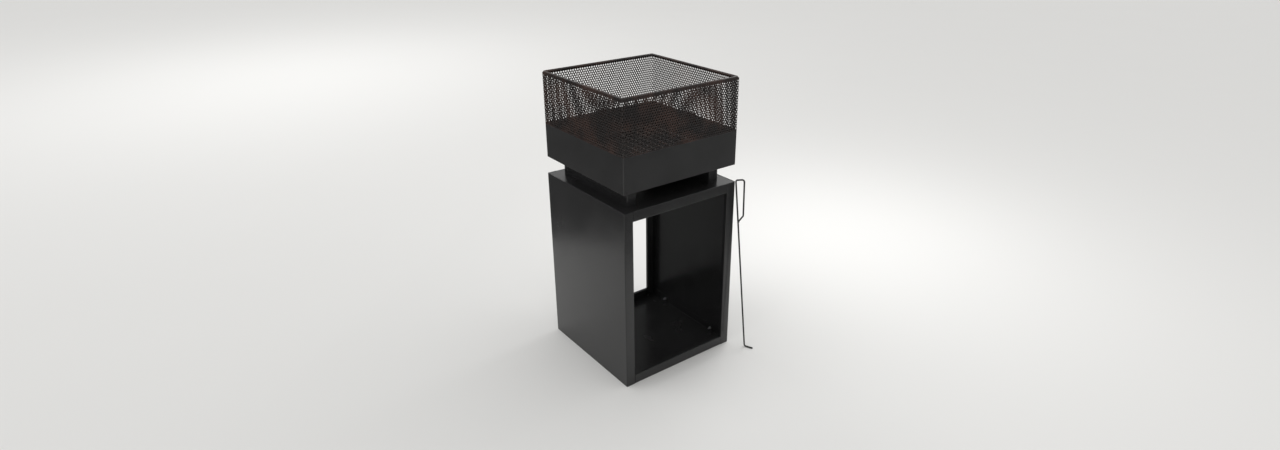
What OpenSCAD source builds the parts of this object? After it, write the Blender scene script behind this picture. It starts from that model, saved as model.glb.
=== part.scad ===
// Square steel fire column. A log store, open at the front and the back, carries a fire bowl on two
// rails. A perforated spark guard stands on the bowl's rim, round a rod grate in the bowl, and a poker
// leans on the store.
// X runs across the front, -Y is the front and +Z is up. The origin is the centre of the underside.
// Every size is in millimetres.

/* [Log store] */
// Width of the log store, left to right
store_w = 400; // [360:5:460]
// Depth of the log store, front to back
store_d = 400; // [360:5:460]
// Height of the log store
store_h = 556.5; // [480:0.5:640]
// Width of the folded frame round both openings
frame_w = 30; // [27:1:36]
// Depth of the lip folded in behind the frame
lip_d = 12; // [8:1:16]
// Thickness of the store's sheet steel
panel_t = 1.2; // [1:0.1:1.6]

/* [Bowl rails] */
// Width of each rail
rail_w = 33; // [30:1:45]
// Height of each rail, which is the gap under the bowl
rail_h = 53; // [40:1:80]
// Distance from the store's faces in to the rails
rail_inset = 37; // [32:1:60]
// Distance from the middle of a rail to each of its bolts
rail_bolt_y = 110; // [80:5:130]

/* [Fire bowl] */
// Width and depth of the fire bowl
bowl_side = 397.5; // [357:0.5:457]
// Height of the fire bowl
bowl_h = 102; // [90:1:140]
// Thickness of the bowl's sheet steel
bowl_t = 2; // [1.5:0.1:3]
// Diameter of the drain holes in the bowl's floor
drain_d = 8; // [5:1:12]

/* [Spark guard] */
// Height that the guard stands above the bowl's rim
guard_rise = 156.5; // [100:0.5:220]
// Thickness of the guard's perforated sheet
guard_t = 1; // [0.8:0.1:1.5]
// Diameter of the roll round the guard's top edge
rim_d = 8; // [6:0.5:10]
// Width of the tabs that hold the guard in place in the bowl
tab_w = 40; // [20:5:80]
// Depth of the tabs below the bowl's rim
tab_drop = 20; // [12:1:30]

/* [Grate] */
// Side of the square grate, over its frame
grate_side = 354; // [320:2:360]
// Diameter of the grate's frame and legs
grate_frame_d = 8; // [6:1:10]
// Diameter of the grate's cross rods
grate_rod_d = 6; // [5:1:8]
// Number of cross rods
grate_rod_count = 13; // [9:2:15]
// Length of the grate's legs
grate_leg_h = 26; // [20:1:40]

/* [Poker] */
// Length of the poker from its heel to the top of its handle
poker_l = 560.5; // [530:0.5:620]
// Diameter of the poker's wire
poker_d = 5; // [4:0.5:8]
// Length of the hook at the poker's foot
poker_hook_l = 28.5; // [20:0.5:45]
// Width of the handle loop at its top
handle_w = 27.5; // [24:0.5:40]
// Length of the handle loop's outer side
handle_l = 110.5; // [90:0.5:140]
// Angle that the poker leans towards the store
poker_lean = 5.9; // [5:0.1:12]
// Direction that the poker's hook points, seen from above
poker_heading = -67.5; // [-80:0.5:-50]

/* [Hidden] */
$fn = 48;

sheet_black = [0.20, 0.20, 0.21];
bowl_black = [0.17, 0.17, 0.18];
guard_brown = [0.16, 0.13, 0.13];
iron_grey = [0.25, 0.24, 0.23];
zinc = [0.62, 0.63, 0.65];

// Clearance between pieces that are fitted side by side, and over the seats of pieces that lift off.
fit_gap = 0.3;
// Overshoot of a cut past the face that it opens.
cut = 1;

// Panels of the log store.
panel_bend_r = 2 * panel_t;
inner_w = store_w - 2 * (panel_t + fit_gap);
inner_d = store_d - 2 * (panel_t + fit_gap);
side_flange_h = frame_w - 5;
flange_notch = 5;
end_tab_inset = 0.8;
stud_y = 0.3 * store_d;
stud_z = side_flange_h / 2;
stud_d = 5;
stud_l = 12;
stud_hole_d = 5.5;
m5_nut_flats = 8;
m5_nut_h = 4;

// Rails, bowl and the four long bolts that hold them to the store.
rail_x = store_w / 2 - rail_inset - rail_w / 2;
rail_l = store_d - 2 * rail_inset;
rail_t = 1.5;
corner_r = 3;
bowl_z = store_h + rail_h;
bowl_rim_z = bowl_z + bowl_h;
drain_offset = 60;
bolt_d = 6;
bolt_hole_d = 6.6;
bolt_head_h = 4;
bolt_end = 4;
m6_flats = 10;
m6_nut_h = 5;
washer_d = 12.5;
washer_t = 1.6;
under_top = store_h - panel_t;
bolt_tip_z = under_top - washer_t - m6_nut_h - bolt_end;

// Spark guard. Its outer faces are flush with the bowl's, and the roll round its top edge is flush too.
guard_z = bowl_rim_z + fit_gap;
rim_z = bowl_rim_z + guard_rise - rim_d / 2;
rim_corner_r = rim_d / 2 + 0.5;
rim_contact_z = rim_z - sqrt(pow(rim_d / 2, 2) - pow(rim_d / 2 - guard_t, 2));
guard_sheet_h = rim_contact_z - 0.01 - guard_z;
tab_t = 1.5;
tab_z = bowl_rim_z + 0.6;
tab_h = 8;

// Grate.
grate_z = bowl_z + bowl_t + fit_gap;
grate_frame_z = grate_z + grate_leg_h + grate_frame_d / 2;
grate_centre_side = grate_side - grate_frame_d;
grate_corner_r = 14;
grate_leg_x = grate_centre_side / 2 - 24;
grate_rod_z = grate_frame_z + (grate_frame_d + grate_rod_d) / 2;
grate_rod_pitch = (grate_centre_side - 2 * grate_corner_r) / (grate_rod_count - 1);

// Poker. Its wire is drawn in its own plane, as [distance out from the shaft, height up the shaft].
poker_bend_r = 6;
poker_bend_swell = 0.1;
handle_foot_w = handle_w - 9.5;
handle_rise = 4;
handle_joint_drop = 20;
poker_points = [
    [poker_hook_l * cos(poker_lean), -poker_hook_l * sin(poker_lean)],
    [0, 0],
    [0, poker_l],
    [handle_w, poker_l + handle_rise],
    [handle_foot_w, poker_l - handle_l],
    [poker_d / 4, poker_l - handle_l - handle_joint_drop],
];
poker_weld_d = 7;
poker_reach = poker_l * sin(poker_lean);
corner_reach = (poker_d / 2 + fit_gap + panel_bend_r) * cos(45) - panel_bend_r;
poker_top = [store_w / 2 + corner_reach, -store_d / 2 - corner_reach];
poker_heel = poker_top + poker_reach * [cos(poker_heading), sin(poker_heading)];

// A rectangle with round corners, about its centre.
module rounded_rectangle(width, depth, radius) {
    square([width - 2 * radius, depth], center = true);
    square([width, depth - 2 * radius], center = true);
    for (x = [-1, 1], y = [-1, 1])
        translate([x * (width / 2 - radius), y * (depth / 2 - radius)]) circle(radius);
}

// Section of folded sheet: the web lies on x = 0, and two flanges run to x = height. The ends are
// turned towards each other by lip, or are plain where lip is 0.
module channel_section(height, width, lip = 0) {
    bend = panel_bend_r;
    thickness = panel_t;
    box = lip > 0 ? height : height + 2 * bend;
    mouth = lip > 0 ? width - 2 * lip : width + cut;
    mouth_x = lip > 0 ? height - 2 * thickness : height;
    difference() {
        translate([box / 2, 0]) rounded_rectangle(box, width, bend);
        translate([box / 2, 0])
            rounded_rectangle(box - 2 * thickness, width - 2 * thickness, bend - thickness);
        translate([mouth_x, -mouth / 2]) square([box, mouth]);
    }
}

// A tray of sheet: round upright corners, a floor at z = 0, and open at the top.
module tray(width, depth, height, thickness) {
    difference() {
        linear_extrude(height) rounded_rectangle(width, depth, corner_r);
        translate([0, 0, thickness]) linear_extrude(height)
            rounded_rectangle(width - 2 * thickness, depth - 2 * thickness, corner_r - thickness / 2);
    }
}

module hexagon(flats, height) {
    rotate(30) cylinder(d = flats / cos(30), h = height, $fn = 6);
}

// The places of the four bolts that hold the bowl and the rails.
module at_bowl_bolts() {
    for (x = [-1, 1], y = [-1, 1]) translate([x * rail_x, y * rail_bolt_y]) children();
}

module washer(height = washer_t) {
    difference() {
        cylinder(d = washer_d, h = height);
        translate([0, 0, -cut]) cylinder(d = bolt_hole_d, h = height + 2 * cut);
    }
}

// The left side panel: a channel as tall as the store, with its lips cut back for the other panels.
module left_panel_shape() {
    clear = panel_t + fit_gap;
    difference() {
        translate([-store_w / 2, 0]) linear_extrude(store_h)
            channel_section(frame_w, store_d, lip_d);
        for (z = [-cut, store_h - clear])
            translate([-store_w / 2 + panel_t, -store_d / 2 + panel_t, z])
                cube([frame_w, store_d - 2 * panel_t, clear + cut]);
    }
}

module left_side_panel() {
    color(sheet_black) left_panel_shape();
}

module right_side_panel() {
    color(sheet_black) mirror([1, 0, 0]) left_panel_shape();
}

// The top panel: a lipped channel between the uprights, and a full sheet with a flange at each side.
// The side flanges are notched at their ends, to clear the bends of the side panels. A tab closes each
// end of the channel, beside the upright.
module top_panel_shape() {
    frame_l = store_w - 2 * (frame_w + fit_gap);
    difference() {
        union() {
            translate([-frame_l / 2, 0, store_h]) rotate([0, 90, 0]) linear_extrude(frame_l)
                channel_section(frame_w, store_d, lip_d);
            translate([0, -inner_d / 2, store_h]) rotate([0, 90, 90]) linear_extrude(inner_d)
                channel_section(side_flange_h, inner_w);
            for (x = [-1, 1], y = [-1, 1])
                translate([
                    x * (frame_l - panel_t) / 2, y * (store_d - lip_d) / 2, store_h - frame_w / 2,
                ])
                    cube([panel_t, lip_d - 2 * end_tab_inset, frame_w - 2 * end_tab_inset], center = true);
        }
        for (y = [-1, 1]) translate([0, y * stud_y, store_h - stud_z]) rotate([0, 90, 0])
            cylinder(d = stud_hole_d, h = store_w, center = true);
        for (x = [-1, 1], y = [-1, 1])
            translate([x * inner_w / 2, y * inner_d / 2, store_h - panel_t - side_flange_h])
                cube([flange_notch, flange_notch, 2 * side_flange_h], center = true);
    }
}

module top_panel() {
    color(sheet_black) difference() {
        top_panel_shape();
        translate([0, 0, under_top - cut]) at_bowl_bolts()
            cylinder(d = bolt_hole_d, h = panel_t + 2 * cut);
    }
}

module floor_panel() {
    color(sheet_black) translate([0, 0, store_h]) mirror([0, 0, 1]) top_panel_shape();
}

// Welded studs stand on the inside of a side panel, so that no screw shows outside.
module panel_studs(side) {
    color(zinc) for (y = [-1, 1], z = [stud_z, store_h - stud_z])
        translate([side * (store_w / 2 - panel_t), y * stud_y, z]) rotate([0, -90 * side, 0])
            cylinder(d = stud_d, h = stud_l);
}

module left_panel_studs() {
    panel_studs(-1);
}

module right_panel_studs() {
    panel_studs(1);
}

// Nuts on the studs, which hold the side flanges of the top panel or of the floor panel.
module panel_nuts(height) {
    color(zinc) for (side = [-1, 1], y = [-1, 1])
        translate([side * (inner_w / 2 - panel_t), y * stud_y, height]) rotate([0, -90 * side, 0])
            difference() {
                hexagon(m5_nut_flats, m5_nut_h);
                translate([0, 0, -cut]) cylinder(d = stud_d + 0.1, h = m5_nut_h + 2 * cut);
            }
}

module top_panel_nuts() {
    panel_nuts(store_h - stud_z);
}

module floor_panel_nuts() {
    panel_nuts(stud_z);
}

// A rail: a long tray turned upside down, with two bolt holes through its web.
module bowl_rail(side) {
    color(sheet_black) difference() {
        translate([side * rail_x, 0, bowl_z]) mirror([0, 0, 1]) tray(rail_w, rail_l, rail_h, rail_t);
        translate([0, 0, bowl_z - rail_t - cut]) at_bowl_bolts()
            cylinder(d = bolt_hole_d, h = rail_t + 2 * cut);
    }
}

module left_bowl_rail() {
    bowl_rail(-1);
}

module right_bowl_rail() {
    bowl_rail(1);
}

module fire_bowl() {
    color(bowl_black) difference() {
        translate([0, 0, bowl_z]) tray(bowl_side, bowl_side, bowl_h, bowl_t);
        translate([0, 0, bowl_z - cut]) {
            at_bowl_bolts() cylinder(d = bolt_hole_d, h = bowl_t + 2 * cut);
            for (x = [-1, 1], y = [-1, 1])
                translate([x * drain_offset, y * drain_offset]) cylinder(d = drain_d, h = bowl_t + 2 * cut);
        }
    }
}

module bowl_bolts() {
    head_z = bowl_z + bowl_t + washer_t;
    color(zinc) at_bowl_bolts() {
        translate([0, 0, bolt_tip_z]) cylinder(d = bolt_d, h = head_z - bolt_tip_z);
        translate([0, 0, head_z]) hexagon(m6_flats, bolt_head_h);
    }
}

module bowl_bolt_head_washers() {
    color(zinc) translate([0, 0, bowl_z + bowl_t]) at_bowl_bolts() washer();
}

module bowl_bolt_nut_washers() {
    color(zinc) translate([0, 0, under_top - washer_t]) at_bowl_bolts() washer();
}

module bowl_bolt_nuts() {
    color(zinc) translate([0, 0, under_top - washer_t - m6_nut_h]) at_bowl_bolts() difference() {
        hexagon(m6_flats, m6_nut_h);
        translate([0, 0, -cut]) cylinder(d = bolt_d + 0.1, h = m6_nut_h + 2 * cut);
    }
}

// A closed ring of round wire, square with round corners, measured along its centre line.
module wire_ring(side, radius, wire) {
    reach = side / 2;
    for (turn = [0:90:270]) rotate(turn) {
        translate([reach - radius, reach - radius]) rotate_extrude(angle = 90)
            translate([radius, 0]) circle(d = wire);
        translate([reach, radius - reach, 0]) rotate([-90, 0, 0])
            cylinder(d = wire, h = side - 2 * radius);
    }
}

// The grate's frame: a ring of rod on four legs.
module grate_frame() {
    color(iron_grey) {
        translate([0, 0, grate_frame_z]) wire_ring(grate_centre_side, grate_corner_r, grate_frame_d);
        for (x = [-1, 1], y = [-1, 1])
            translate([x * grate_leg_x, y * grate_centre_side / 2, grate_z])
                cylinder(d = grate_frame_d, h = grate_leg_h + grate_frame_d / 2);
    }
}

module grate_rods() {
    color(iron_grey) for (i = [0:grate_rod_count - 1])
        translate([(i - (grate_rod_count - 1) / 2) * grate_rod_pitch, 0, grate_rod_z]) rotate([90, 0, 0])
            cylinder(d = grate_rod_d, h = grate_side, center = true);
}

// The guard's sheet, bent to a square ring. Its perforations are left out of this solid.
module guard_sheet() {
    inner_side = bowl_side - 2 * guard_t;
    color(guard_brown) translate([0, 0, guard_z]) linear_extrude(guard_sheet_h) difference() {
        rounded_rectangle(bowl_side, bowl_side, corner_r);
        rounded_rectangle(inner_side, inner_side, corner_r - guard_t);
    }
}

module guard_rim() {
    color(guard_brown) translate([0, 0, rim_z]) wire_ring(bowl_side - rim_d, rim_corner_r, rim_d);
}

// A strip in the middle of each side of the guard, whose outer face is inset from the guard's.
module guard_strips(inset, low, high) {
    color(guard_brown) for (turn = [0:90:270])
        rotate(turn) translate([bowl_side / 2 - inset - tab_t, -tab_w / 2, low])
            cube([tab_t, tab_w, high - low]);
}

module guard_tab_spacers() {
    guard_strips(guard_t, tab_z, tab_z + tab_h);
}

// The legs hang down inside the bowl, and stay clear of its walls.
module guard_tab_legs() {
    guard_strips(guard_t + tab_t, bowl_rim_z - tab_drop, tab_z + tab_h);
}

// Direction from one point to another, in degrees.
function heading(from, to) = atan2(to[1] - from[1], to[0] - from[0]);

// Turn at point i of a path, in degrees, from -180 to 180.
function turn_at(path, i) =
    let (turn = heading(path[i], path[i + 1]) - heading(path[i - 1], path[i]))
    turn - 360 * round(turn / 360);

// Length that the bend at point i takes from the straights on either side. The ends have none.
function bend_length(path, i, radius) =
    i == 0 || i == len(path) - 1 ? 0 : radius * tan(abs(turn_at(path, i)) / 2);

// Round wire along a flat path, with a bend of the same radius at each inner point. The wire is
// thicker by swell in its bends, and each straight ends inside them.
module wire_path(path, radius, wire, swell) {
    overlap = 0.4;
    for (i = [0:len(path) - 2]) {
        start = bend_length(path, i, radius) - (i == 0 ? 0 : overlap);
        finish = bend_length(path, i + 1, radius) - (i == len(path) - 2 ? 0 : overlap);
        translate(path[i]) rotate(heading(path[i], path[i + 1])) translate([start, 0, 0])
            rotate([0, 90, 0]) cylinder(d = wire, h = norm(path[i + 1] - path[i]) - start - finish);
    }
    for (i = [1:len(path) - 2]) {
        side = sign(turn_at(path, i));
        translate(path[i]) rotate(heading(path[i - 1], path[i]))
            translate([-bend_length(path, i, radius), side * radius]) rotate(side > 0 ? -90 : 90)
                mirror([0, side > 0 ? 0 : 1, 0]) rotate_extrude(angle = abs(turn_at(path, i)))
                    translate([radius, 0]) circle(d = wire + swell);
    }
}

// The poker leans on the store's front right edge, with its hook flat on the ground.
module poker() {
    color(iron_grey) translate([poker_heel[0], poker_heel[1], (poker_d + poker_bend_swell) / 2])
        rotate([0, -poker_lean, poker_heading]) rotate([90, 0, 0]) {
            wire_path(poker_points, poker_bend_r, poker_d, poker_bend_swell);
            translate(poker_points[len(poker_points) - 1]) sphere(d = poker_weld_d);
        }
}

left_side_panel();
right_side_panel();
top_panel();
floor_panel();
left_panel_studs();
right_panel_studs();
top_panel_nuts();
floor_panel_nuts();
left_bowl_rail();
right_bowl_rail();
fire_bowl();
bowl_bolts();
bowl_bolt_head_washers();
bowl_bolt_nut_washers();
bowl_bolt_nuts();
grate_frame();
grate_rods();
guard_sheet();
guard_rim();
guard_tab_spacers();
guard_tab_legs();
poker();
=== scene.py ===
"""The looks of a square steel fire column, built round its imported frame.

The sheet-metal parts are the frame's own, with rounded edges. The perforated guard, the wire parts,
the grate and the fasteners are built here in finer meshes. Lengths are in metres and angles in degrees.
"""
from math import ceil, cos, pi, radians, sin, tan

import bpy
import numpy as np
from mathutils import Matrix, Quaternion, Vector


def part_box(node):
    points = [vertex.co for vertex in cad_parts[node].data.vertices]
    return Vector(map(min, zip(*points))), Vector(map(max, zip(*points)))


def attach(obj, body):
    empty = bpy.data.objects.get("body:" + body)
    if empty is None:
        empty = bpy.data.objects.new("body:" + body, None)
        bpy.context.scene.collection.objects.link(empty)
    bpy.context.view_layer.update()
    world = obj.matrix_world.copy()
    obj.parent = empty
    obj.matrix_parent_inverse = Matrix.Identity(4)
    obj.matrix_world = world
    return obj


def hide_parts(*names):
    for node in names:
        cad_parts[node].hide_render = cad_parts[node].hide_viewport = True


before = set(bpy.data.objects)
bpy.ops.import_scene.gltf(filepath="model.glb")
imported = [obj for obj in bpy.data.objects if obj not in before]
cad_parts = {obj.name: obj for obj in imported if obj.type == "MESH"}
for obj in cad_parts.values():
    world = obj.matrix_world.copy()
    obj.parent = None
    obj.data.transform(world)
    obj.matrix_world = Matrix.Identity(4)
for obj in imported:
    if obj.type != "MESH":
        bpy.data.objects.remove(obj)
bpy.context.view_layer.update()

MM = 0.001
Y, Z = Vector((0, 1, 0)), Vector((0, 0, 1))

# Camera, at the photograph's viewing angle.
CAMERA_AZIMUTH = -36.845
CAMERA_ELEVATION = 24.624
CAMERA_ROLL = -0.269
CAMERA_DISTANCE = 2.3938
CAMERA_AIM = (0.1004, 0.1008, 0.3340)
CAMERA_LENS = 20.472
CAMERA_SHIFT = -0.0053

# Perforated sheet.
HOLE_D = 5.5 * MM
HOLES_ROUND = 192
HOLE_ROWS = 21
HOLE_SIDES = 12
SHEET_T = 1.0 * MM
SHEET_CORNER_R = 3.0 * MM
FOOT_MARGIN = 6.2 * MM
TOP_MARGIN = 8.5 * MM

# The roll round the guard's top edge, how far the sheet runs up behind it, and the tack welds.
RIM_R = 4.0 * MM
RIM_LAP = 0.6 * MM
RIM_CORNER_R = 4.5 * MM
CORNER_TACK = (4.4 * MM, 3.4 * MM, 4.2 * MM)
CORNER_TACK_DROP = 2.4 * MM
CORNER_TACK_PROUD = 0.2 * MM
TAB_TACK = (2.6 * MM, 5.5 * MM, 1.6 * MM)
TAB_TACK_SINK = 0.1 * MM
TAB_TACKS_ALONG = (-13 * MM, 12 * MM)

# Fasteners.
M6_R, M6_PITCH, M6_FLATS, M6_HEAD, M6_THREAD = 3.0 * MM, 1.0 * MM, 10.0 * MM, 4.0 * MM, 18.0 * MM
M5_R, M5_PITCH, M5_FLATS, M5_NUT = 2.5 * MM, 0.8 * MM, 8.0 * MM, 4.0 * MM
WASHER_R, WASHER_BORE_R = 6.25 * MM, 3.3 * MM
FASTENER_CHAMFER = 0.15 * MM
THREAD_DEPTH = 0.54
THREAD_IN_NUT = 0.2 * MM
SHANK_CHAMFER = 0.1 * MM
SHANK_OVERLAP = 0.5 * MM
HEXAGON_FACE_SHARE = 0.475

# Poker.
POKER_LEAN = 5.9
POKER_HEADING = -67.5
POKER_BEND_R = 6.0 * MM
POKER_HOOK = 28.5 * MM
POKER_LENGTH = 560.5 * MM
HANDLE_TOP = 27.5 * MM
HANDLE_RISE = 4.0 * MM
HANDLE_FOOT = 18.0 * MM
HANDLE_LENGTH = 110.5 * MM
HANDLE_DROP = 20.0 * MM
POKER_R = 2.5 * MM
POKER_TIP_CHAMFER = 0.9 * MM
HANDLE_WELD = (7.2 * MM, 6.4 * MM, 8.5 * MM)

# Grate.
GRATE_CORNER_R = 14.0 * MM
GRATE_FRAME_R = 4.0 * MM
GRATE_ROD_R = 3.0 * MM
GRATE_RODS = 13
GRATE_LEG_INSET = 24.0 * MM
LEG_CHAMFER = 0.6 * MM
ROD_CHAMFER = 0.5 * MM
LEG_WELD = (11.0 * MM, 10.4 * MM, 3.6 * MM)
LEG_WELD_SINK = 0.2 * MM
ROD_WELD = (3.6 * MM, 6.2 * MM, 2.8 * MM)
ROD_WELD_OFFSET = 3.1 * MM
ROD_WELD_RISE = 0.1 * MM

# Sheet-metal parts: rounding of their edges, clean-up of their meshes, and the bowl's thickness.
BEND_ANGLE = radians(32)
PANEL_EDGE = 0.25 * MM
BOWL_EDGE = 0.4 * MM
WELD_DISTANCE = 0.01 * MM
FLAT_ANGLE = radians(1)
BOWL_T = 2.0 * MM

# Studio.
FLOOR_SIDE = 80
FLOOR_DROP = 0.1 * MM
KEY_STRENGTH, KEY_SPREAD, KEY_HEADING = 0.42, radians(50), (0.62, -0.30, -0.85)
SKY_COLOUR, SKY_STRENGTH = (1.0, 0.998, 0.99, 1.0), 0.78


# ---------------------------------------------------------------- meshes

class Parts:
    """Vertices and faces of several shapes, gathered into one mesh."""

    def __init__(self):
        self.verts, self.faces = [], []

    def add(self, shape, place=None):
        verts, faces = shape
        start = len(self.verts)
        self.verts += [tuple(place @ Vector(v)) if place else tuple(v) for v in verts]
        self.faces += [[start + i for i in face] for face in faces]
        return self


def make(name, parts, material, body, replaced=(), sharp=38):
    """Turn parts into a piece with smooth faces and sharp edges, which rides on a body."""
    mesh = bpy.data.meshes.new(name)
    mesh.from_pydata(parts.verts, [], parts.faces)
    mesh.update()
    mesh.shade_smooth()
    mesh.set_sharp_from_angle(angle=radians(sharp))
    mesh.materials.append(material)
    piece = bpy.data.objects.new(name, mesh)
    bpy.context.scene.collection.objects.link(piece)
    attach(piece, body)
    if replaced:
        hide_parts(*replaced)
    return piece


def rings(profile, sides, closed_along=False):
    """Faces between neighbouring rings of points, each ring with the same number of sides."""
    count = len(profile)
    last = count if closed_along else count - 1
    faces = []
    for i in range(last):
        low, high = i * sides, (i + 1) % count * sides
        for j in range(sides):
            k = (j + 1) % sides
            faces.append([low + j, low + k, high + k, high + j])
    verts = [v for ring in profile for v in ring]
    return verts, faces


def tube(path, radii, across, sides=20, closed=False):
    """Round wire along a flat path. across is the path's normal, and an open end is capped."""
    path = [Vector(p) for p in path]
    across = Vector(across).normalized()
    count = len(path)
    profile = []
    for i, point in enumerate(path):
        before = path[i - 1] if i or closed else point
        after = path[(i + 1) % count] if i < count - 1 or closed else point
        outward = across.cross(after - before).normalized()
        ring = []
        for j in range(sides):
            a = 2 * pi * j / sides
            ring.append(point + radii[i] * (cos(a) * outward + sin(a) * across))
        profile.append(ring)
    verts, faces = rings(profile, sides, closed)
    if not closed:
        faces.append(list(range(sides))[::-1])
        faces.append(list(range(len(verts) - sides, len(verts))))
    return verts, faces


def rod(start, end, radius, chamfer, sides=20):
    """A straight round bar with a chamfer at both ends."""
    start, end = Vector(start), Vector(end)
    along = (end - start).normalized()
    across = along.orthogonal()
    path = [start, start + chamfer * along, end - chamfer * along, end]
    return tube(path, [radius - chamfer, radius, radius, radius - chamfer], across, sides)


def rounded_path(points, bend_r, steps=10):
    """The points of a bent wire: each inner corner becomes an arc of radius bend_r."""
    points = [Vector(p) for p in points]
    path = [points[0]]
    for before, corner, after in zip(points, points[1:], points[2:]):
        coming, going = (corner - before).normalized(), (after - corner).normalized()
        turn = coming.angle(going)
        side = (going - coming.dot(going) * coming).normalized()
        start = corner - coming * bend_r * tan(turn / 2)
        centre = start + side * bend_r
        for i in range(steps + 1):
            a = turn * i / steps
            path.append(centre - side * bend_r * cos(a) + coming * bend_r * sin(a))
    return path + [points[-1]]


def square_ring(half, corner_r, z, steps=10):
    """A closed path: a square with round corners, whose sides lie half from the middle."""
    path = []
    for quarter in range(4):
        turn = Matrix.Rotation(radians(90 * quarter), 4, "Z")
        for i in range(steps + 1):
            a = radians(90 * i / steps)
            reach = half - corner_r
            path.append(turn @ Vector((reach + corner_r * cos(a), reach + corner_r * sin(a), z)))
    return path


def lathe(profile, sides=48):
    """A closed profile of [radius, height] points turned round Z."""
    turned = []
    for j in range(sides):
        a = 2 * pi * j / sides
        turned.append([(r * cos(a), r * sin(a), z) for r, z in profile])
    return rings(turned, len(profile), closed_along=True)


def hexagon(flats, height, bore=0.0, chamfer_under=False, sides=72):
    """A chamfered hexagon bolt head, or a nut where it has a bore."""
    face_r = HEXAGON_FACE_SHARE * flats
    slope = tan(radians(30))
    lip = FASTENER_CHAMFER
    under, over, rim_low, rim_high = [], [], [], []
    for j in range(sides):
        a = 2 * pi * j / sides
        r = flats / 2 / cos((a % (pi / 3)) - pi / 6)
        drop = (r - face_r) * slope
        low = drop if chamfer_under else 0.0
        c, s = cos(a + pi / 6), sin(a + pi / 6)
        under.append((r * c, r * s, low))
        over.append((r * c, r * s, height - drop))
        rim_low.append((face_r * c, face_r * s, 0.0))
        rim_high.append((face_r * c, face_r * s, height))
    profile = [rim_low, under, over, rim_high]
    if bore:
        for r, z in ((bore + lip, height), (bore, height - lip), (bore, lip), (bore + lip, 0.0)):
            turns = [2 * pi * j / sides + pi / 6 for j in range(sides)]
            profile.append([(r * cos(a), r * sin(a), z) for a in turns])
        return rings(profile, sides, closed_along=True)
    verts, faces = rings(profile, sides)
    faces.append(list(range(sides))[::-1])
    faces.append(list(range(len(verts) - sides, len(verts))))
    return verts, faces


def thread(radius, length, pitch, sides=24, per_turn=8):
    """A screw-cut rod along Z with a chamfered tip at its top end."""
    depth = THREAD_DEPTH * pitch
    rows = ceil(length / pitch * per_turn)
    profile = []
    for i in range(rows + 1):
        z = length * i / rows
        to_tip = (length - z) / pitch
        ring = []
        for j in range(sides):
            phase = (z / pitch - j / sides) % 1.0
            cut = depth * (1 - abs(2 * phase - 1))
            r = min(radius - cut, radius - depth + to_tip * depth)
            a = 2 * pi * j / sides
            ring.append((r * cos(a), r * sin(a), z))
        profile.append(ring)
    verts, faces = rings(profile, sides)
    faces.append(list(range(sides))[::-1])
    faces.append(list(range(len(verts) - sides, len(verts))))
    return verts, faces


def bead(size, seed, rows=8, sides=14):
    """A lumpy drop of weld metal, about size across in X, Y and Z, round the origin."""
    profile = []
    for i in range(1, rows):
        lat = pi * i / rows
        ring = []
        for j in range(sides):
            lon = 2 * pi * j / sides
            lump = 1 + 0.09 * sin(3 * lon + 1.7 * seed) + 0.07 * sin(5 * lat + 2 * lon + seed)
            r = 0.5 * lump
            ring.append((size[0] * r * sin(lat) * cos(lon), size[1] * r * sin(lat) * sin(lon),
                         -size[2] * r * cos(lat)))
        profile.append(ring)
    verts, faces = rings(profile, sides)
    low, high = len(verts), len(verts) + 1
    verts += [(0, 0, -0.5 * size[2]), (0, 0, 0.5 * size[2])]
    last = (rows - 2) * sides
    for j in range(sides):
        k = (j + 1) % sides
        faces.append([low, k, j])
        faces.append([high, last + j, last + k])
    return verts, faces


def at(x, y, z):
    """A move to that place."""
    return Matrix.Translation((x, y, z))


# ---------------------------------------------------------------- materials

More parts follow.
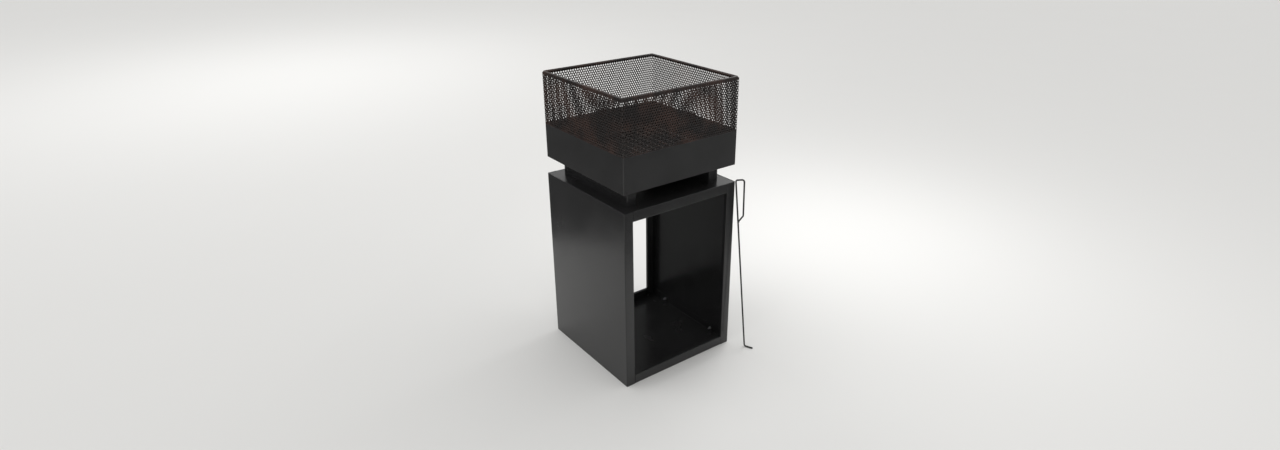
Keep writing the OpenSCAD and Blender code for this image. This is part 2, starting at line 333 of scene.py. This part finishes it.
class Paint:
    """The node graph of one material, round a Principled shader."""

    def __init__(self, name):
        self.material = bpy.data.materials.new(name)
        self.material.use_nodes = True
        self.tree = self.material.node_tree
        self.shader = self.tree.nodes["Principled BSDF"]
        self.place = self.node("ShaderNodeTexCoord").outputs["Object"]

    def node(self, kind, inputs=(), **settings):
        made = self.tree.nodes.new(kind)
        for key, value in settings.items():
            setattr(made, key, value)
        for key, value in dict(inputs).items():
            self.set(made.inputs[key], value)
        return made

    def set(self, socket, value):
        if isinstance(value, bpy.types.NodeSocket):
            self.tree.links.new(value, socket)
        else:
            socket.default_value = value

    def math(self, operation, a, b=0.0):
        return self.node("ShaderNodeMath", {0: a, 1: b}, operation=operation).outputs[0]

    def noise(self, size, detail=2.0, stretch=(1, 1, 1), rough=0.5):
        """Noise from 0 to 1 with features of about that size, longer along a stretched axis."""
        scaled = self.node("ShaderNodeMapping", {"Vector": self.place, "Scale": [1 / s for s in stretch]})
        inputs = {"Vector": scaled.outputs[0], "Scale": 1 / size, "Detail": detail, "Roughness": rough}
        return self.node("ShaderNodeTexNoise", inputs).outputs["Fac"]

    def span(self, value, low, high, to_low=0.0, to_high=1.0):
        """value rescaled from low..high, and held at the ends."""
        inputs = {"Value": value, "From Min": low, "From Max": high, "To Min": to_low, "To Max": to_high}
        return self.node("ShaderNodeMapRange", inputs, interpolation_type="SMOOTHSTEP").outputs[0]

    def mix(self, share, a, b):
        """Colour a, with its share of colour b."""
        made = self.node("ShaderNodeMix", data_type="RGBA")
        colours = [s for s in made.inputs if s.type == "RGBA"]
        self.set(made.inputs["Factor"], share)
        for socket, colour in zip(colours, (a, b)):
            self.set(socket, colour if isinstance(colour, bpy.types.NodeSocket) else (*colour, 1.0))
        return [s for s in made.outputs if s.type == "RGBA"][0]

    def blend_values(self, share, a, b):
        """Value a, with its share of value b."""
        made = self.node("ShaderNodeMix", data_type="FLOAT")
        values = [s for s in made.inputs if s.type == "VALUE"]
        for socket, value in zip(values, (share, a, b)):
            self.set(socket, value)
        return [s for s in made.outputs if s.type == "VALUE"][0]

    def axis(self, vector, name):
        return self.node("ShaderNodeSeparateXYZ", {"Vector": vector}).outputs[name]

    def edges(self, radius):
        """1 on convex and concave edges, within about radius, and 0 on flat faces."""
        flat = self.node("ShaderNodeNewGeometry").outputs["Normal"]
        soft = self.node("ShaderNodeBevel", {"Radius": radius}, samples=4).outputs["Normal"]
        same = self.node("ShaderNodeVectorMath", {0: flat, 1: soft}, operation="DOT_PRODUCT").outputs["Value"]
        return self.span(same, 0.995, 0.86)

    def facing_up(self):
        """1 on level tops, and 0 on walls."""
        return self.span(self.axis(self.node("ShaderNodeNewGeometry").outputs["Normal"], "Z"), 0.6, 0.95)

    def bump(self, height, distance, under=None):
        """A normal with that height's bumps, distance deep in metres, over the bumps under it."""
        inputs = {"Height": height, "Distance": distance}
        if under:
            inputs["Normal"] = under
        return self.node("ShaderNodeBump", inputs).outputs["Normal"]

    def finish(self, colour, roughness, normal, metallic=None, **constants):
        self.set(self.shader.inputs["Base Color"], colour)
        self.set(self.shader.inputs["Roughness"], roughness)
        self.set(self.shader.inputs["Normal"], normal)
        if metallic is not None:
            self.set(self.shader.inputs["Metallic"], metallic)
        for name, value in constants.items():
            self.shader.inputs[name.replace("_", " ")].default_value = value
        return self.material


BARE_STEEL = (0.30, 0.29, 0.28)
RUST = (0.13, 0.045, 0.018)
ASH = (0.30, 0.29, 0.275)
DUST = (0.32, 0.31, 0.29)


def sooted(p, inside, floor_z, colour, roughness):
    """Soot and ash over a colour and a roughness where inside is 1. Ash lies thickest near floor_z."""
    soot = p.mix(p.noise(0.03, detail=5), (0.006, 0.0055, 0.005), (0.020, 0.018, 0.016))
    low = p.span(p.axis(p.place, "Z"), floor_z + 0.045, floor_z)
    patch = p.span(p.noise(0.011, detail=6, rough=0.62), 0.40, 0.74)
    ash = p.math("MULTIPLY", p.math("MULTIPLY", low, patch), 0.13)
    tinted = p.mix(p.span(p.noise(0.05, detail=4), 0.55, 0.75, 0.0, 0.14), soot, RUST)
    tinted = p.mix(ash, tinted, ASH)
    return p.mix(inside, colour, tinted), p.blend_values(inside, roughness, 0.82)


def powder_coat(name, colour, roughness, inside=None):
    """Satin black powder coat: orange peel, faint hand marks, dust on top and thin wear on edges.

    inside is the (half width, floor height) of a fire bowl's inside, which is sooty.
    """
    p = Paint(name)
    cloud = p.noise(0.09, detail=3)
    wear = p.math("MULTIPLY", p.edges(0.0010), p.span(p.noise(0.004, detail=3), 0.53, 0.68))
    film = p.math("MULTIPLY", p.facing_up(), p.span(p.noise(0.05, detail=5), 0.40, 0.75, 0.002, 0.010))
    shade = p.mix(p.span(cloud, 0.3, 0.7), colour, [c * 1.25 for c in colour])
    shade = p.mix(p.math("MULTIPLY", wear, 0.55), shade, BARE_STEEL)
    shade = p.mix(film, shade, DUST)
    smear = p.noise(0.03, detail=4, stretch=(1, 1, 3))
    rough = p.math("ADD", p.span(cloud, 0.3, 0.7, roughness - 0.025, roughness + 0.03),
                   p.span(smear, 0.40, 0.80, 0.0, 0.006))
    rough = p.math("ADD", rough, film)
    if inside:
        half, floor_z = inside
        across = p.math("MAXIMUM", p.math("ABSOLUTE", p.axis(p.place, "X")),
                        p.math("ABSOLUTE", p.axis(p.place, "Y")))
        within = p.math("MULTIPLY", p.span(across, half + 0.0016, half + 0.0002),
                        p.span(p.axis(p.place, "Z"), floor_z - 0.0012, floor_z - 0.0003))
        shade, rough = sooted(p, within, floor_z, shade, rough)
    normal = p.bump(p.noise(0.0042), 0.000035, p.bump(p.noise(0.0011, detail=1), 0.000006))
    return p.finish(shade, rough, normal, IOR=1.54)


def heat_and_fire_glow_mesh(name):
    """Guard steel: black paint browned by heat and tinted red by a painted fire glow, matt where the soot
    sits and worn at the holes' edges.
    """
    p = Paint(name)
    heat = p.span(p.noise(0.07, detail=4), 0.38, 0.68)
    # Both colours are red-brown partly from heat browning and partly from a painted glow of the fire's light.
    shade = p.mix(heat, (0.0105, 0.0072, 0.0068), (0.040, 0.0185, 0.013))
    flake = p.span(p.noise(0.006, detail=5, rough=0.6), 0.58, 0.72)
    shade = p.mix(p.math("MULTIPLY", flake, 0.30), shade, RUST)
    shade = p.mix(p.math("MULTIPLY", p.edges(0.0004), 0.14), shade, BARE_STEEL)
    rough = p.span(p.noise(0.02, detail=4), 0.3, 0.7, 0.42, 0.62)
    return p.finish(shade, rough, p.bump(p.noise(0.0018, detail=3), 0.00003), IOR=1.5)


def wire_paint(name, tip_z):
    """Black painted wire, with scuffs. Below tip_z it is scraped and sooty."""
    p = Paint(name)
    low = p.span(p.axis(p.place, "Z"), tip_z + 0.05, tip_z)
    scuff = p.span(p.noise(0.003, detail=4, rough=0.6), 0.56, 0.70)
    grime = p.mix(p.noise(0.02, detail=3), (0.011, 0.011, 0.011), (0.017, 0.0165, 0.016))
    worn = p.mix(p.noise(0.006, detail=4), (0.035, 0.030, 0.026), BARE_STEEL)
    share = p.math("MULTIPLY", scuff, p.math("ADD", p.math("MULTIPLY", low, 0.55), 0.12))
    shade = p.mix(share, grime, worn)
    rough = p.math("ADD", p.span(p.noise(0.03, detail=3), 0.3, 0.7, 0.36, 0.46),
                   p.math("MULTIPLY", low, 0.22))
    normal = p.bump(p.noise(0.0014, detail=3), 0.00002)
    return p.finish(shade, rough, normal, p.math("MULTIPLY", share, 0.7), IOR=1.5)


def fired_iron(name):
    """Grate steel: dark mill scale with soot, pale ash on top and rust where it has burnt off."""
    p = Paint(name)
    scale = p.mix(p.noise(0.012, detail=5), (0.030, 0.028, 0.027), (0.072, 0.065, 0.060))
    burnt = p.span(p.noise(0.035, detail=5, rough=0.6), 0.52, 0.68)
    shade = p.mix(p.math("MULTIPLY", burnt, 0.35), scale, RUST)
    dust = p.math("MULTIPLY", p.facing_up(), p.span(p.noise(0.009, detail=6, rough=0.65), 0.46, 0.66))
    shade = p.mix(p.math("MULTIPLY", dust, 0.35), shade, ASH)
    rough = p.span(p.noise(0.006, detail=4), 0.3, 0.7, 0.62, 0.88)
    normal = p.bump(p.noise(0.0009, detail=4), 0.00007, p.bump(p.noise(0.0045, detail=3), 0.00016))
    metal = p.span(burnt, 0.0, 1.0, 0.45, 0.0)
    return p.finish(shade, rough, normal, metal)


def zinc(name, sooty):
    """Zinc-plated fasteners, dulled in patches, and blackened if sooty."""
    p = Paint(name)
    tone = p.mix(p.noise(0.004, detail=4), (0.30, 0.305, 0.315), (0.42, 0.425, 0.43))
    dull = p.span(p.noise(0.0025, detail=5, rough=0.6), 0.50, 0.70)
    shade = p.mix(p.math("MULTIPLY", dull, 0.45), tone, (0.17, 0.165, 0.155))
    rough = p.span(dull, 0.0, 1.0, 0.38, 0.58)
    if sooty:
        soot = p.span(p.noise(0.005, detail=5, rough=0.6), 0.25, 0.60, 0.75, 1.0)
        shade = p.mix(soot, shade, (0.016, 0.014, 0.013))
        rough = p.blend_values(soot, rough, 0.80)
        metal = p.span(soot, 0.75, 1.0, 0.35, 0.0)
    else:
        metal = p.span(dull, 0.0, 1.0, 1.0, 0.75)
    return p.finish(shade, rough, p.bump(p.noise(0.0006, detail=3), 0.00001), metal)


def floor_paint(name):
    """A plain pale floor, almost even, with a fine tooth."""
    p = Paint(name)
    shade = p.mix(p.noise(1.5, detail=2), FLOOR_TONE, [c * 1.012 for c in FLOOR_TONE])
    rough = p.span(p.noise(0.4, detail=2), 0.3, 0.7, 0.80, 0.90)
    return p.finish(shade, rough, p.bump(p.noise(0.004, detail=2), 0.00002))


# ---------------------------------------------------------------- perforated sheet

def ring_point(s, z, out, half, corner_r):
    """Points at distance s along a rounded square ring, at height z and out from its middle surface."""
    arc = pi / 2 * corner_r
    quarter = 2 * (half - corner_r) + arc
    turn, u = np.divmod(s, quarter)
    reach = half - corner_r
    angle = np.where(u < arc / 2, (u / arc - 0.5), 0.0)
    angle = np.where(u > quarter - arc / 2, (u - quarter + arc / 2) / arc, angle) * pi / 2
    centre = np.clip(u - arc / 2 - reach, -reach, reach)
    x = reach + (corner_r + out) * np.cos(angle)
    y = centre + (corner_r + out) * np.sin(angle)
    a = turn * pi / 2
    return np.stack([x * np.cos(a) - y * np.sin(a), x * np.sin(a) + y * np.cos(a), z + 0 * s], -1)


def perforated(start, columns, half, corner_r, low, high, rows):
    """Sheet with staggered round holes, columns wide from distance start along a rounded square ring.

    Each hole sits in a hexagonal cell, and the cells tile the sheet. Half cells and strips finish its
    edges, and a wall joins the two surfaces wherever one ends.
    """
    pitch = (4 * (2 * (half - corner_r)) + 2 * pi * corner_r) / HOLES_ROUND
    step = (high - low - FOOT_MARGIN - TOP_MARGIN) / (rows - 1)
    tall = (pitch ** 2 / 4 + step ** 2) / (2 * step)
    side = step - tall
    turn = np.arange(HOLE_SIDES) * 2 * pi / HOLE_SIDES
    hole = np.stack([np.cos(turn), np.sin(turn)], -1) * HOLE_D / 2
    edge = np.array([(0.5, 0), (0.5, side / pitch), (0.25, (side + tall) / 2 / pitch), (0, tall / pitch),
                     (-0.25, (side + tall) / 2 / pitch), (-0.5, side / pitch)])
    edge = np.concatenate([edge, -edge]) * pitch
    flat, faces = [], []
    index = {}

    def point(s, z):
        key = (round(s * 1e7), round(z * 1e7))
        if key not in index:
            index[key] = len(flat)
            flat.append((s, z))
        return index[key]

    for row in range(rows):
        z = low + FOOT_MARGIN + row * step
        for column in range(columns):
            s = start + (column + 0.5 * (row % 2) + 0.5) * pitch
            outer = [point(s + e[0], z + e[1]) for e in edge]
            inner = [point(s + e[0], z + e[1]) for e in hole]
            faces += [(outer[i], outer[(i + 1) % HOLE_SIDES], inner[(i + 1) % HOLE_SIDES], inner[i])
                      for i in range(HOLE_SIDES)]
            if row in (0, rows - 1):
                zigzag, limit = (outer[7:], low) if row == 0 else (outer[1:6], high)
                for a, b in zip(zigzag, zigzag[1:]):
                    faces.append((b, a, point(flat[a][0], limit), point(flat[b][0], limit)))
    flat = np.array(flat)
    outside = ring_point(flat[:, 0], flat[:, 1], SHEET_T / 2, half, corner_r)
    inside = ring_point(flat[:, 0], flat[:, 1], -SHEET_T / 2, half, corner_r)
    count = len(flat)
    used = {}
    for face in faces:
        for a, b in zip(face, face[1:] + face[:1]):
            used[(a, b)] = used.get((a, b), 0) + 1
    walls = [(b, a, a + count, b + count) for a, b in used if (b, a) not in used]
    back = [tuple(i + count for i in face[::-1]) for face in faces]
    return np.concatenate([outside, inside]).tolist(), faces + back + walls


# ---------------------------------------------------------------- looks

COAT = (0.0125, 0.0125, 0.0130)
BOWL_COAT = (0.0180, 0.0180, 0.0184)
FLOOR_TONE = (0.760, 0.757, 0.745)
bowl_low, bowl_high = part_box("fire_bowl")

store_coat = powder_coat("store_powder_coat", COAT, 0.24)
bowl_coat = powder_coat("bowl_powder_coat", BOWL_COAT, 0.30, (bowl_high.x - BOWL_T, bowl_low.z + BOWL_T))
guard_steel = heat_and_fire_glow_mesh("heat_browned_fire_glow_steel")
rim_steel = heat_and_fire_glow_mesh("heat_browned_fire_glow_rim")
poker_paint = wire_paint("poker_paint", 0.0)
grate_iron = fired_iron("fired_iron")
clean_zinc = zinc("clean_zinc", False)
sooty_zinc = zinc("sooty_zinc", True)


def soften_group():
    """A modifier group that shades smooth across gentle angles and drops the imported normals."""
    group = bpy.data.node_groups.new("smooth_by_angle", "GeometryNodeTree")
    group.interface.new_socket("Geometry", in_out="INPUT", socket_type="NodeSocketGeometry")
    group.interface.new_socket("Geometry", in_out="OUTPUT", socket_type="NodeSocketGeometry")
    start, end = group.nodes.new("NodeGroupInput"), group.nodes.new("NodeGroupOutput")
    clear = group.nodes.new("GeometryNodeRemoveAttribute")
    clear.inputs["Name"].default_value = "custom_normal"
    faces, edges = [group.nodes.new("GeometryNodeSetShadeSmooth") for _ in range(2)]
    faces.domain, edges.domain = "FACE", "EDGE"
    angle = group.nodes.new("GeometryNodeInputMeshEdgeAngle")
    gentle = group.nodes.new("FunctionNodeCompare")
    gentle.data_type, gentle.operation = "FLOAT", "LESS_EQUAL"
    gentle.inputs["B"].default_value = BEND_ANGLE
    group.links.new(start.outputs[0], clear.inputs["Geometry"])
    group.links.new(clear.outputs[0], faces.inputs["Geometry"])
    group.links.new(faces.outputs[0], edges.inputs["Geometry"])
    group.links.new(angle.outputs["Unsigned Angle"], gentle.inputs["A"])
    group.links.new(gentle.outputs[0], edges.inputs["Shade Smooth"])
    group.links.new(edges.outputs[0], end.inputs[0])
    return group


def keep_sheet(node, material, width):
    """Give a sheet-metal node of the frame soft edges, smooth bends and a material."""
    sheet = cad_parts[node]
    sheet.data.materials.clear()
    sheet.data.materials.append(material)
    weld = sheet.modifiers.new("weld", "WELD")
    weld.merge_threshold = WELD_DISTANCE
    flat = sheet.modifiers.new("flat", "DECIMATE")
    flat.decimate_type, flat.angle_limit = "DISSOLVE", FLAT_ANGLE
    smooth = sheet.modifiers.new("smooth", "NODES")
    smooth.node_group = smoother
    bevel = sheet.modifiers.new("edges", "BEVEL")
    bevel.width, bevel.segments, bevel.harden_normals = width, 3, True
    bevel.limit_method, bevel.angle_limit = "ANGLE", BEND_ANGLE


smoother = soften_group()
for node in ("left_side_panel", "right_side_panel", "top_panel", "floor_panel",
             "left_bowl_rail", "right_bowl_rail"):
    keep_sheet(node, store_coat, PANEL_EDGE)
keep_sheet("fire_bowl", bowl_coat, BOWL_EDGE)
for node in ("guard_tab_spacers", "guard_tab_legs"):
    keep_sheet(node, guard_steel, PANEL_EDGE)


# ---------------------------------------------------------------- spark guard

sheet_low, sheet_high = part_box("guard_sheet")
rim_low, rim_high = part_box("guard_rim")
rim_z, rim_half = (rim_low.z + rim_high.z) / 2, rim_high.x - RIM_R
middle = sheet_high.x - SHEET_T / 2
mid_corner = SHEET_CORNER_R - SHEET_T / 2
half_way = 2 * (2 * (middle - mid_corner) + pi / 2 * mid_corner)
for name, start in (("guard_mesh_back_right", 0.0), ("guard_mesh_front_left", half_way)):
    sheet = Parts().add(perforated(start, HOLES_ROUND // 2, middle, mid_corner,
                                   sheet_low.z, rim_z - RIM_LAP, HOLE_ROWS))
    make(name, sheet, guard_steel, "spark_guard", ["guard_sheet"])

rim_path = square_ring(rim_half, RIM_CORNER_R, rim_z, 14)
make("guard_rim_roll", Parts().add(tube(rim_path, [RIM_R] * len(rim_path), Z, 36, closed=True)),
     rim_steel, "spark_guard", ["guard_rim"])
tacks = Parts()
_, leg_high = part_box("guard_tab_legs")
corner = rim_half - RIM_CORNER_R + (RIM_CORNER_R + RIM_R + CORNER_TACK_PROUD) * cos(pi / 4)
for quarter in range(4):
    turn = Matrix.Rotation(radians(90 * quarter), 4, "Z")
    lean_in = Matrix.Rotation(radians(45), 4, "Z")
    tacks.add(bead(CORNER_TACK, quarter), turn @ at(corner, corner, rim_z - CORNER_TACK_DROP) @ lean_in)
    for i, along in enumerate(TAB_TACKS_ALONG):
        place = turn @ at(leg_high.x, along, leg_high.z - TAB_TACK_SINK)
        tacks.add(bead(TAB_TACK, 4 * quarter + i), place)
make("guard_tack_welds", tacks, guard_steel, "spark_guard")


# ---------------------------------------------------------------- grate

frame_low, frame_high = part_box("grate_frame")
rods_low, rods_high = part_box("grate_rods")
frame_half, frame_z = frame_high.x - GRATE_FRAME_R, frame_high.z - GRATE_FRAME_R
rod_z, rod_reach = (rods_low.z + rods_high.z) / 2, rods_high.x - GRATE_ROD_R
ring_path = square_ring(frame_half, GRATE_CORNER_R, frame_z, 14)
grate = Parts().add(tube(ring_path, [GRATE_FRAME_R] * len(ring_path), Z, 24, closed=True))
welds = Parts()
for sx in (-1, 1):
    for sy in (-1, 1):
        x, y = sx * (frame_half - GRATE_LEG_INSET), sy * frame_half
        grate.add(rod((x, y, frame_low.z), (x, y, frame_z), GRATE_FRAME_R, LEG_CHAMFER, 24))
        welds.add(bead(LEG_WELD, 3 * sx + sy), at(x, y, frame_z - GRATE_FRAME_R - LEG_WELD_SINK))
make("grate_frame_rod", grate, grate_iron, "fire_grate", ["grate_frame"])

rods = Parts()
for i in range(GRATE_RODS):
    x = rod_reach * (2 * i / (GRATE_RODS - 1) - 1)
    rods.add(rod((x, rods_low.y, rod_z), (x, rods_high.y, rod_z), GRATE_ROD_R, ROD_CHAMFER, 24))
    for sy in (-1, 1):
        for sx in (-1, 1):
            place = at(x + sx * ROD_WELD_OFFSET, sy * frame_half, rod_z - GRATE_ROD_R + ROD_WELD_RISE)
            welds.add(bead(ROD_WELD, i + 5 * sx + 9 * sy), place)
make("grate_cross_rods", rods, grate_iron, "fire_grate", ["grate_rods"])
make("grate_welds", welds, grate_iron, "fire_grate")


# ---------------------------------------------------------------- poker

lean = radians(POKER_LEAN)
joint_z = POKER_LENGTH - HANDLE_LENGTH - HANDLE_DROP
outline = [(POKER_HOOK * cos(lean), -POKER_HOOK * sin(lean)), (0, 0), (0, POKER_LENGTH),
           (HANDLE_TOP, POKER_LENGTH + HANDLE_RISE), (HANDLE_FOOT, POKER_LENGTH - HANDLE_LENGTH),
           (POKER_R / 2, joint_z)]
path = rounded_path([(x, 0, z) for x, z in outline], POKER_BEND_R, 12)
path.insert(1, path[0] + (path[1] - path[0]).normalized() * POKER_TIP_CHAMFER)
poker = Parts()
poker.add(tube(path, [POKER_R - POKER_TIP_CHAMFER] + [POKER_R] * (len(path) - 1), Y, 24))
poker.add(bead(HANDLE_WELD, 2), at(POKER_R / 2, 0, joint_z))
turn = Matrix.Rotation(radians(POKER_HEADING), 4, "Z") @ Matrix.Rotation(-lean, 4, "Y")
points = [turn @ Vector(v) for v in poker.verts]
box_low, box_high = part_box("poker")
lowest = Vector([min(p[i] for p in points) for i in range(3)])
highest = Vector([max(p[i] for p in points) for i in range(3)])
shift = (box_low + box_high - lowest - highest) / 2
poker.verts = [tuple(p + shift) for p in points]
make("poker_wire", poker, poker_paint, "poker", ["poker"])


# ---------------------------------------------------------------- fasteners

def washer(bottom_z, top_z):
    """A chamfered washer that lies from bottom_z to top_z."""
    c, height = FASTENER_CHAMFER, top_z - bottom_z
    return lathe([(WASHER_R - c, height), (WASHER_R, height - c), (WASHER_R, c), (WASHER_R - c, 0),
                  (WASHER_BORE_R + c, 0), (WASHER_BORE_R, c), (WASHER_BORE_R, height - c),
                  (WASHER_BORE_R + c, height)], 64)


bolt_low, bolt_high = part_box("bowl_bolts")
nut_low, nut_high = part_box("bowl_bolt_nuts")
bolt_x = bolt_high.x - M6_FLATS / 2
bolt_y = bolt_high.y - M6_FLATS / 2 / cos(pi / 6)
bolt_places = [(sx * bolt_x, sy * bolt_y) for sx in (-1, 1) for sy in (-1, 1)]
UPSIDE_DOWN = Matrix.Rotation(pi, 4, "X")

bolts, nuts = Parts(), Parts()
head_washers, nut_washers = Parts(), Parts()
head_z = bolt_high.z - M6_HEAD
thread_z = bolt_low.z + M6_THREAD
for x, y in bolt_places:
    bolts.add(hexagon(M6_FLATS, M6_HEAD), at(x, y, head_z))
    bolts.add(rod((x, y, thread_z - SHANK_OVERLAP), (x, y, head_z + SHANK_OVERLAP), M6_R, SHANK_CHAMFER, 24))
    bolts.add(thread(M6_R, M6_THREAD, M6_PITCH), at(x, y, thread_z) @ UPSIDE_DOWN)
    nuts.add(hexagon(M6_FLATS, nut_high.z - nut_low.z, M6_R - THREAD_IN_NUT, True), at(x, y, nut_low.z))
    for parts, node in ((head_washers, "bowl_bolt_head_washers"), (nut_washers, "bowl_bolt_nut_washers")):
        low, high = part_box(node)
        parts.add(washer(low.z, high.z), at(x, y, low.z))
make("bolt_heads_and_shanks", bolts, sooty_zinc, "fire_column", ["bowl_bolts"])
make("bolt_head_washers", head_washers, sooty_zinc, "fire_column",
     ["bowl_bolt_head_washers"])
make("bolt_nut_washers", nut_washers, clean_zinc, "fire_column",
     ["bowl_bolt_nut_washers"])
make("bolt_nuts", nuts, clean_zinc, "fire_column", ["bowl_bolt_nuts"])

for side, word in ((-1, "left"), (1, "right")):
    low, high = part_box(word + "_panel_studs")
    inward = Matrix.Rotation(radians(-90 * side), 4, "Y")
    studs = Parts()
    for y in (-1, 1):
        for z in (low.z + M5_R, high.z - M5_R):
            base = at(side * max(abs(low.x), abs(high.x)), y * (high.y - M5_R), z)
            studs.add(thread(M5_R, high.x - low.x, M5_PITCH), base @ inward)
    make(word + "_studs", studs, clean_zinc, "fire_column", [word + "_panel_studs"])

for word in ("top", "floor"):
    low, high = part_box(word + "_panel_nuts")
    nuts = Parts()
    for side in (-1, 1):
        for y in (-1, 1):
            place = at(side * high.x, y * (high.y - M5_FLATS / 2 / cos(pi / 6)), (low.z + high.z) / 2)
            nuts.add(hexagon(M5_FLATS, M5_NUT, M5_R - THREAD_IN_NUT, True),
                     place @ Matrix.Rotation(radians(-90 * side), 4, "Y"))
    make(word + "_nuts", nuts, clean_zinc, "fire_column", [word + "_panel_nuts"])


# ---------------------------------------------------------------- studio

scene = bpy.context.scene


def card(name, centre, size, facing, material):
    """A flat rectangular card, which belongs to the studio and not to the object."""
    w, h = size[0] / 2, size[1] / 2
    mesh = bpy.data.meshes.new(name)
    mesh.from_pydata([(-w, -h, 0), (w, -h, 0), (w, h, 0), (-w, h, 0)], [], [(0, 1, 2, 3)])
    mesh.materials.append(material)
    made = bpy.data.objects.new(name, mesh)
    made.location = centre
    made.rotation_mode = "QUATERNION"
    made.rotation_quaternion = Vector(facing).to_track_quat("Z", "Y")
    bpy.context.scene.collection.objects.link(made)
    return made


def area_light(name, place, aim, size, power):
    """A round soft light that brightens the floor where it is aimed."""
    light = bpy.data.lights.new(name, "AREA")
    light.shape, light.size, light.energy = "DISK", size, power
    lamp = bpy.data.objects.new(name, light)
    lamp.location = place
    lamp.rotation_mode = "QUATERNION"
    lamp.rotation_quaternion = (Vector(aim) - Vector(place)).to_track_quat("-Z", "Y")
    lamp.visible_camera = False
    bpy.context.scene.collection.objects.link(lamp)


def flag(name, centre, size, facing, grey):
    """A grey upright card, seen only in reflections."""
    paint = bpy.data.materials.new(name + "_grey")
    paint.use_nodes = True
    shader = paint.node_tree.nodes["Principled BSDF"]
    shader.inputs["Base Color"].default_value = (grey, grey, grey, 1.0)
    shader.inputs["Roughness"].default_value = 1.0
    shader.inputs["Specular IOR Level"].default_value = 0.0
    made = card(name, centre, size, facing, paint)
    made.visible_camera = False
    made.visible_diffuse = False
    made.visible_shadow = False


card("studio_floor", (0, 0, -FLOOR_DROP), (FLOOR_SIDE, FLOOR_SIDE), (0, 0, 1), floor_paint("floor_paint"))
flag("flag_behind_left", (-0.61, 0.74, 0.6), (2.4, 1.2), (0.65, -0.80, 0), 0.18)
flag("flag_front_right", (0.42, -0.85, 0.6), (2.0, 1.2), (-0.42, 0.85, 0), 0.26)
flag("flag_back_opening", (0.0, 0.206, 0.28), (0.38, 0.56), (0, -1, 0), 0.95)

sun = bpy.data.lights.new("key", "SUN")
sun.energy, sun.angle = KEY_STRENGTH, KEY_SPREAD
key = bpy.data.objects.new("key", sun)
key.rotation_mode = "QUATERNION"
key.rotation_quaternion = Vector(KEY_HEADING).to_track_quat("-Z", "Y")
scene.collection.objects.link(key)
area_light("pool_right", (1.05, 0.1, 1.3), (1.05, 0.0, 0.0), 0.8, 7.6)
area_light("pool_behind", (0.0, 4.6, 3.2), (0.0, 4.6, 0.0), 1.6, 38)

world = bpy.data.worlds.new("pale_studio")
world.use_nodes = True
sky = world.node_tree.nodes["Background"]
sky.inputs["Color"].default_value = SKY_COLOUR
sky.inputs["Strength"].default_value = SKY_STRENGTH
scene.world = world
scene.view_settings.view_transform = "Standard"

camera_data = bpy.data.cameras.new("camera")
camera_data.sensor_fit, camera_data.sensor_width = "HORIZONTAL", 36.0
camera_data.lens, camera_data.shift_x = CAMERA_LENS, CAMERA_SHIFT
camera = bpy.data.objects.new("camera", camera_data)
azimuth, elevation = radians(CAMERA_AZIMUTH), radians(CAMERA_ELEVATION)
back = Vector((sin(azimuth) * cos(elevation), -cos(azimuth) * cos(elevation), sin(elevation)))
camera.location = Vector(CAMERA_AIM) + back * CAMERA_DISTANCE
camera.rotation_mode = "QUATERNION"
roll = Quaternion((0, 0, 1), radians(CAMERA_ROLL))
camera.rotation_quaternion = (-back).to_track_quat("-Z", "Y") @ roll
scene.collection.objects.link(camera)
scene.camera = camera
